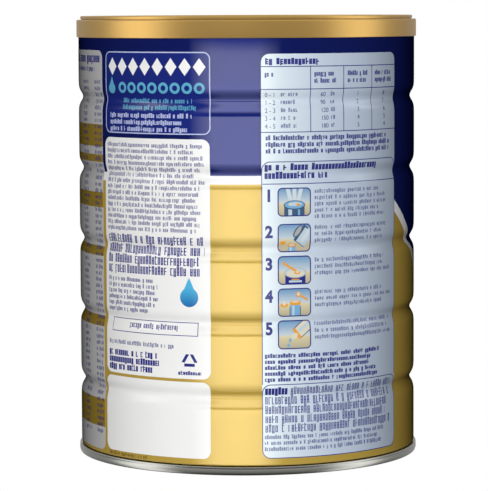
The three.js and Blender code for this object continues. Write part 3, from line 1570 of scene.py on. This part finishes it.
@dataclass
class BottomEnd:
    """The bottom end: beaded panel, countersink and rolled seam."""

    outside: float = 64.35
    inside: float = 62.9
    height: float = 3.1
    foot_round: float = 0.4
    top_round: float = 0.42
    taper: float = 0.22  # how far the seam draws in towards its foot
    panel: float = 2.3
    sink: float = 3.2
    plate: float = 0.3
    beads: tuple[float, ...] = (36.0, 49.0)
    bead_half: float = 2.5
    bead_depth: float = 0.55
    bead_steps: int = 8
    sink_wall: tuple[Point, ...] = (  # from the panel, up the sink and down to the seam
        (59.3, 2.3), (59.8, 2.45), (60.5, 3.05), (61.0, 3.2), (61.9, 3.2), (62.5, 3.0),
        (62.85, 2.5),
    )
    seam_foot: tuple[Point, ...] = ((0.0, 0.35), (0.1, 0.1), (0.35, 0.0))  # from inside
    seam_side: tuple[Point, ...] = (  # belly and groove, from the outside
        (-0.08, 0.75), (-0.01, 1.15), (0.0, 1.45), (-0.03, 1.75), (-0.12, 2.05),
        (-0.2, 2.25), (-0.14, 2.4),
    )
    bead_inset: float = 0.06  # of the seam's top bead behind its belly
    turn_steps: int = 256
    finish: Tinplate = field(default_factory=Tinplate)

    def under_panel(self) -> list[Point]:
        """The underside of the panel from the axis to the countersink."""
        points: list[Point] = [(0.0, self.panel)]
        for middle in self.beads:
            for step in range(self.bead_steps + 1):
                across = 2 * step / self.bead_steps - 1
                drop = self.bead_depth * (1 + math.cos(math.pi * across)) / 2
                points.append((middle + across * self.bead_half, self.panel - drop))
        return points + list(self.sink_wall)

    def build(self) -> None:
        foot = self.outside - self.taper - self.foot_round
        bead_radius = self.outside - self.top_round - self.bead_inset
        bead = (bead_radius, self.height - self.top_round)
        profile = [
            *self.under_panel(),
            *((self.inside + across, up) for across, up in self.seam_foot),
            *round_edge((foot, self.foot_round), self.foot_round, -90, -20, 5),
            *((self.outside + across, up) for across, up in self.seam_side),
            *round_edge(bead, self.top_round, -10, 90, 8),
            (63.25, self.height),
            (62.9, self.height + 0.1),
            (62.2, self.sink + self.plate),
            (60.7, self.sink + self.plate),
            (59.4, self.panel + self.plate),
            (0.0, self.panel + self.plate),
        ]
        piece = turned("bottom_end", profile, self.turn_steps)
        map_turned(piece, self.outside)
        self.finish.dress(piece)
        declare(piece, "bare_steel")
        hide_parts("base_end")


@dataclass
class Lid:
    """The push-on lid: skirt, shoulder, stacking ring and lower panel."""

    top: float = 165.0
    foot: float = 157.1
    shoulder: float = 163.6
    outside: float = 64.2
    cavity: float = 63.8
    ceiling: float = 162.3
    edge_round: float = 0.5
    foot_round: float = 0.2
    ring: float = 62.75
    ring_width: float = 1.6
    ring_round: float = 0.45
    recess: tuple[Point, ...] = (  # dark line from the shoulder to under the ring
        (0.3, 0.0), (0.16, -0.3), (-0.35, -0.3), (-0.35, 0.22), (0.0, 0.34),
    )
    panel_drop: float = 1.1
    panel_round: float = 0.15
    ridge: tuple[Point, ...] = ((50.7, 0.0), (50.3, 0.25), (49.7, 0.25), (49.3, 0.0))
    gate: tuple[Point, ...] = ((2.4, 0.0), (2.1, -0.18), (0.8, -0.18), (0.6, -0.02))
    turn_steps: int = 256
    finish: SatinPlastic = field(default_factory=SatinPlastic)

    def build(self) -> None:
        ring_inside = self.ring - self.ring_width
        panel = self.top - self.panel_drop
        profile = [
            (0.0, self.ceiling),
            (self.cavity - 0.3, self.ceiling),
            (self.cavity, self.ceiling - 0.3),
            (self.cavity, self.foot + 0.1),
            *round_edge(
                (self.outside - self.foot_round, self.foot + self.foot_round),
                self.foot_round, -90, 0, 4,
            ),
            *round_edge(
                (self.outside - self.edge_round, self.shoulder - self.edge_round),
                self.edge_round, 0, 90, 8,
            ),
            *((self.ring + across, self.shoulder + up) for across, up in self.recess),
            *round_edge(
                (self.ring - self.ring_round, self.top - self.ring_round),
                self.ring_round, 0, 90, 7,
            ),
            *round_edge(
                (ring_inside + self.ring_round, self.top - self.ring_round),
                self.ring_round, 90, 180, 7,
            ),
            (ring_inside, panel + self.panel_round),
            (ring_inside - self.panel_round, panel),
            *((radius, panel + up) for radius, up in (*self.ridge, *self.gate)),
            (0.0, panel),
        ]
        piece = turned("push_lid", profile, self.turn_steps)
        self.finish.dress(piece)
        declare(piece, "gold_plastic")
        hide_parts("lid")


def declare(piece: bpy.types.Object, slot: str) -> bpy.types.Object:
    """Hangs a finished piece on the frame's root body and logs its faces and material
    slot.

    Args:
        piece: The piece.
        slot: The record's material slot.

    Returns:
        The same piece.
    """
    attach(piece, "root")
    log.info("%s: %d faces, %s", piece.name, len(piece.data.polygons), slot)
    return piece


@dataclass(frozen=True)
class Fill:
    """A soft light that only lights what is matt. Its angles are in degrees."""

    name: str
    azimuth: float
    elevation: float
    power: float
    spread: float

    def hang(self) -> None:
        """Adds the light."""
        bpy.ops.object.light_add(type="SUN")
        light = bpy.context.object
        light.name = self.name
        pitch, turn = math.radians(90 - self.elevation), math.radians(self.azimuth)
        light.rotation_euler = (pitch, 0, turn)
        light.data.energy = self.power
        light.data.angle = math.radians(self.spread)
        light.visible_glossy = False


@dataclass
class Studio:
    """Camera, backdrop and lights."""

    camera_place: Rgb = (-1.19, -1007.3, 168.02)
    camera_pitch: float = math.radians(5.135)
    camera_roll: float = math.radians(0.247)
    lens: float = 194.3
    sensor: float = 36.0
    card_distance: float = 1200.0
    front_glow: float = 3.0
    dome_radius: float = 3.0  # metres, of the surround
    backdrop_radius: float = 6.0  # metres
    night: float = 0.003  # brightness of the world behind all cards
    front_box: Area = Area(-1016.0, 551.0, -2400.0, 141.5)
    front_distance: float = 1300.0
    front_fades: Point = (481.0, 366.0)  # from its left and right edge inwards
    front_edge: float = 12.0  # from its top to its full glow
    front_drop: Point = (300.0, 420.0)  # where it starts to fade, and how fast
    front_foot: float = 0.16  # share of the glow that stays
    side_heights: Point = (330.0, 1500.0)
    even: float = 0.5  # the surround's glow at the tin's height
    sky: Point = (0.15, 0.55)  # level from which it brightens, and how fast
    ground: Point = (-0.15, 0.5)  # level under which it darkens, and how fast
    lobes: tuple[Rgb, ...] = (  # its bright sides: degrees, glow and width
        (-77.0, 2.1, 0.1), (80.0, 1.85, 0.09),
    )
    lights: tuple[Fill, ...] = (
        Fill("front_fill", -5.5, 3.0, 3.3, 30.0),
        Fill("back_fill", 180.0, 14.0, 4.6, 20.0),
        Fill("top_fill", 20.0, 75.0, 0.4, 60.0),
    )

    def build(self, printed: Lit, bare: Lit) -> None:
        """Sets up everything round the tin.

        Args:
            printed: The lacquered pieces, which get cards of their own.
            bare: The lid and the bottom end, which get a bright surround of their own.
        """
        self.camera()
        self.backdrop()
        self.front_card(printed)
        self.high_card(printed)
        self.side_cards(printed)
        self.surround(bare)
        for light in self.lights:
            light.hang()
        scene = bpy.context.scene
        scene.view_settings.view_transform = "Standard"
        world = bpy.data.worlds.new("studio")
        world.use_nodes = True
        colour = (self.night, self.night, self.night, 1)
        world.node_tree.nodes["Background"].inputs[0].default_value = colour
        scene.world = world

    def camera(self) -> None:
        """Stands the camera where the photograph was taken from."""
        bpy.ops.object.camera_add()
        camera = bpy.context.object
        place = Matrix.Translation(Vector(self.camera_place) * MM)
        pitch = Matrix.Rotation(math.pi / 2 - self.camera_pitch, 4, "X")
        roll = Matrix.Rotation(-self.camera_roll, 4, "Z")
        camera.matrix_world = place @ (pitch @ roll)
        camera.data.lens = self.lens
        camera.data.sensor_width = self.sensor
        camera.data.clip_start = 0.01
        bpy.context.scene.camera = camera

    def backdrop(self) -> None:
        """Puts a white dome round everything, which only the camera sees."""
        bpy.ops.mesh.primitive_uv_sphere_add(
            radius=self.backdrop_radius, segments=48, ring_count=24
        )
        dome = bpy.context.object
        dome.name = "backdrop"
        graph = Graph("backdrop_white")
        graph.end(graph.wire("Emission", None, {"Color": (1.0, 1.0, 1.0)}))
        dome.data.materials.append(graph.material)
        dome.visible_glossy = dome.visible_diffuse = dome.visible_shadow = False

    def arc(
        self,
        name: str,
        turns: Point,
        heights: Point,
        strength: Callable[[Value, Value], Value],
        lit: Lit,
    ) -> None:
        """Hangs a glowing card on a circle round the tin, for reflections alone.

        Args:
            name: Name of the card.
            turns: Its left and right end, in degrees from -Y towards +X.
            heights: Its foot and top.
            strength: Gives the glow, from the shares across and up the card.
            lit: The pieces that it lights.
        """
        bpy.ops.mesh.primitive_grid_add(x_subdivisions=24, y_subdivisions=2, size=1)
        card = bpy.context.object
        card.name = name
        for vertex in card.data.vertices:
            turn = math.radians(turns[0] + (turns[1] - turns[0]) * (vertex.co.x + 0.5))
            height = heights[0] + (heights[1] - heights[0]) * (vertex.co.y + 0.5)
            away = self.card_distance
            spot = (away * math.sin(turn), -away * math.cos(turn), height)
            vertex.co = Vector(spot) * MM
        self.light_up(card, strength, lit)

    def light_up(
        self,
        card: bpy.types.Object,
        strength: Callable[[Value, Value], Value],
        lit: Lit,
    ) -> None:
        """Gives a card its glow, and lets what lies behind it shine through."""
        graph = Graph(card.name)
        across, up = graph.map_place(card.data.uv_layers[0].name)
        shader = graph.wire("Emission", None, {"Strength": strength(across, up)})
        clear = graph.wire("BsdfTransparent")
        graph.end(graph.wire("AddShader", None, {0: shader, 1: clear}))
        self.reflect_only(card, graph, lit)

    def reflect_only(self, card: bpy.types.Object, graph: Graph, lit: Lit) -> None:
        """Lets a glowing thing show in the reflections of some pieces alone."""
        card.data.materials.append(graph.material)
        card.visible_camera = card.visible_diffuse = card.visible_shadow = False
        card.light_linking.receiver_collection = lit

    def front_card(self, lit: Lit) -> None:
        """Hangs the big soft box behind the camera, sharp only at its top."""
        box = self.front_box
        start, run = self.front_drop

        def glow(across: Value, up: Value) -> Value:
            """Fades at both sides and slowly towards the foot."""
            rising = (across * box.width / self.front_fades[0]).clamped()
            falling = ((1 - across) * box.width / self.front_fades[1]).clamped()
            down = (1 - up) * box.height
            depth = ((down - start) / run).most(0.0)
            fading = 1 + depth.graph.math("POWER", depth, 1.2)
            foot = (1 - self.front_foot) / fading + self.front_foot
            top = (down / self.front_edge).clamped()
            return rising * falling * top * foot * self.front_glow

        bpy.ops.mesh.primitive_grid_add(x_subdivisions=4, y_subdivisions=4, size=1)
        card = bpy.context.object
        card.name = "front_card"
        for vertex in card.data.vertices:
            across, up = vertex.co.x + 0.5, vertex.co.y + 0.5
            x, z = box.left + box.width * across, box.bottom + box.height * up
            vertex.co = Vector((x, -self.front_distance, z)) * MM
        self.light_up(card, glow, lit)

    def high_card(self, lit: Lit) -> None:
        """Hangs a card above the camera, which lights what faces upwards."""

        def glow(across: Value, up: Value) -> Value:
            """Fades at its sides as the front card does, and softly at its foot."""
            rising = (across * 3.8).clamped()
            falling = ((1 - across) * 4.0).clamped()
            return rising * falling * (up * 6.0).clamped() * self.front_glow

        self.arc("high_card", (-38.0, 23.0), (250.0, 2400.0), glow, lit)

    def side_cards(self, lit: Lit) -> None:
        """Hangs a soft card at each side, above the tin's height."""
        for name, turns, power in (
            ("left_card", (-112.0, -46.0), 2.6), ("right_card", (58.0, 124.0), 2.3),
        ):

            def glow(across: Value, up: Value, power: float = power) -> Value:
                """Brightest in its middle."""
                side = 1 - abs(across - 0.5) * 2.0
                return side * side * (up * 4.0).clamped() * power

            self.arc(name, turns, self.side_heights, glow, lit)

    def surround(self, lit: Lit) -> None:
        """Hangs a surround, brighter above and at each side and darker below."""
        bpy.ops.mesh.primitive_cylinder_add(
            vertices=96, radius=self.dome_radius, depth=2 * self.dome_radius
        )
        dome = bpy.context.object
        dome.name = "surround"
        graph = Graph("surround")
        x, y, z = graph.split(graph.object_place())
        level = z / self.dome_radius
        brighter = (level - self.sky[0]).most(0.0) * self.sky[1]
        darker = (level - self.ground[0]).least(0.0) * self.ground[1]
        glow: Number = self.even + brighter + darker
        for azimuth, power, narrow in self.lobes:
            angle = math.radians(azimuth)
            facing = (x * math.sin(angle) - y * math.cos(angle)) / self.dome_radius
            lobe = ((facing - (1 - narrow)) / narrow).clamped()
            glow = glow + lobe * power
        graph.end(graph.wire("Emission", None, {"Strength": glow}))
        self.reflect_only(dome, graph, lit)


def lit_by(name: str, *makers: Callable[[], None]) -> Lit:
    """Runs makers and gathers what they add, so that cards can light it alone.

    Args:
        name: Name of the new collection.
        *makers: Functions that add pieces.

    Returns:
        The collection of the new pieces.
    """
    before = set(bpy.data.objects)
    for make in makers:
        make()
    found = bpy.data.collections.new(name)
    for piece in bpy.data.objects:
        if piece not in before:
            found.objects.link(piece)
    return found


def main() -> None:
    """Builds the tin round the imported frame, then the studio."""
    logging.basicConfig(level=logging.INFO, format="%(name)s: %(message)s")
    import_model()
    printed = lit_by("printed_pieces", TinBody().build)
    bare = lit_by("bare_pieces", BottomEnd().build, Lid().build)
    Studio().build(printed, bare)


if __name__ == "__main__":
    main()
